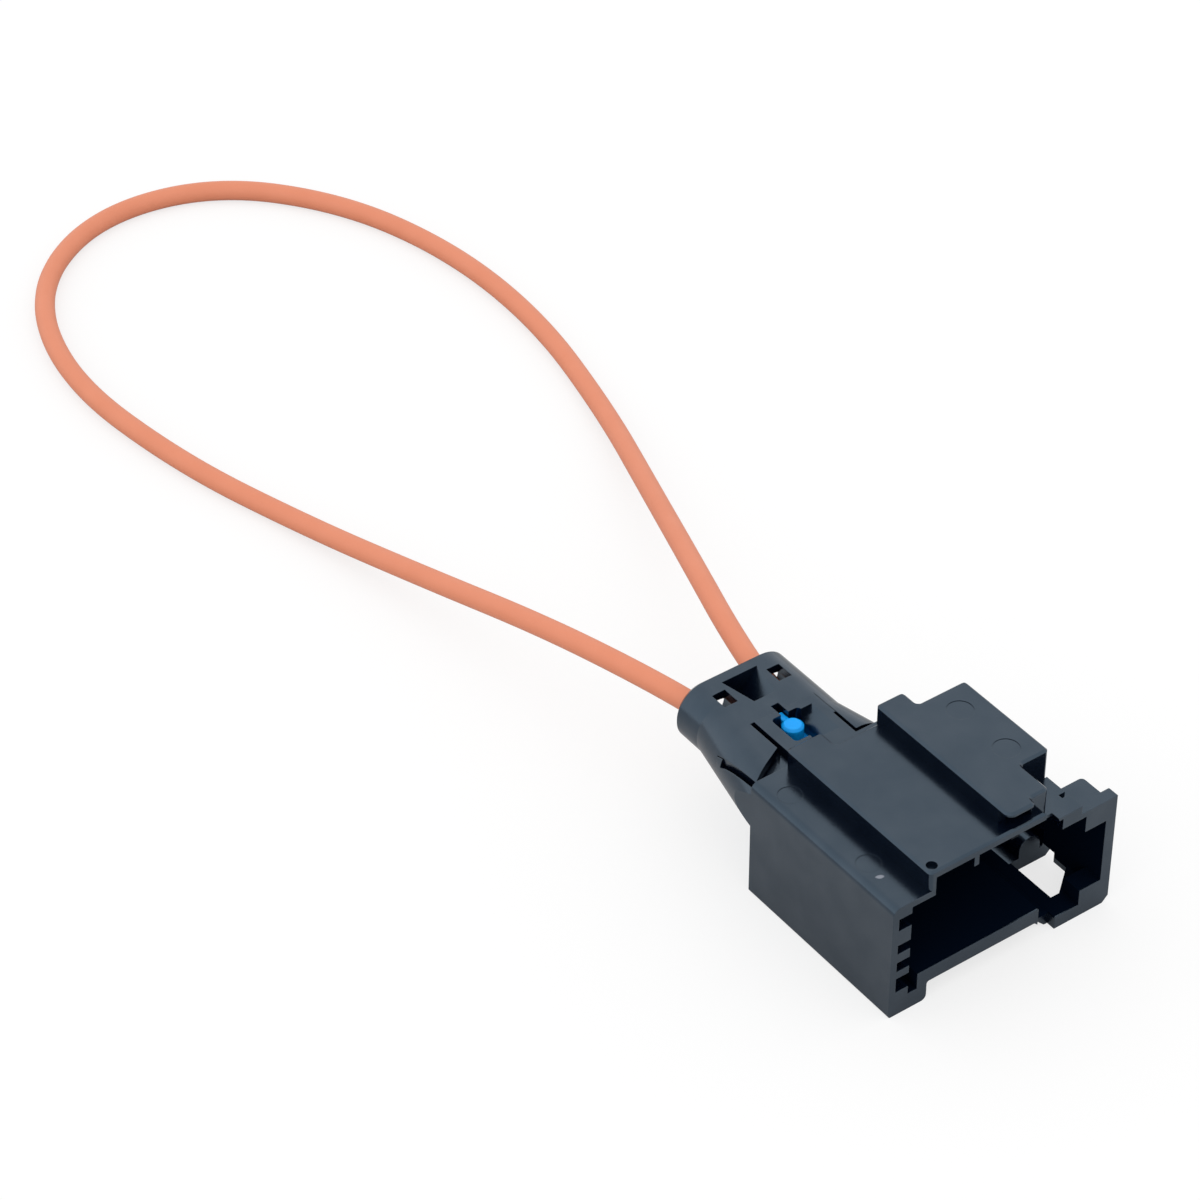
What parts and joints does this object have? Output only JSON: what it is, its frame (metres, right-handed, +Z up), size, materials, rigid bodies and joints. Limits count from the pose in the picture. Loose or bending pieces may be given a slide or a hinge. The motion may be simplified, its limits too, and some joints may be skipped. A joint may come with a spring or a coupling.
{
  "type": "fibre optic bypass loop",
  "caption": "Fibre optic bypass loop: a black moulded shroud with a keyed socket, a clip-on rear cap, a blue lock and a loop of orange jacketed fibre",
  "frame": {"origin": "middle of the connector's footprint, on the surface it rests on", "axes": "+X across the shroud towards the latch corner, +Y from the socket mouth to the cap and the fibre, +Z up"},
  "size_m": [0.0505, 0.1568, 0.018],
  "materials": {
    "housing_black": "satin moulded black with soft edges",
    "cap_black": "satin moulded black",
    "lock_blue": "bright blue moulded plastic",
    "ferrule_brass": "turned brass",
    "fibre_clear": "clear polished plastic fibre",
    "jacket_orange": "smooth orange jacket with a soft sheen"
  },
  "bodies": {
    "root": {"shroud_housing": "housing_black", "rear_cap": "cap_black", "lock_slider": "lock_blue", "ferrule_left": "ferrule_brass", "ferrule_right": "ferrule_brass", "bare_fibre_left": "fibre_clear", "bare_fibre_right": "fibre_clear", "fibre_loop": "jacket_orange"}
  },
  "joints": []
}
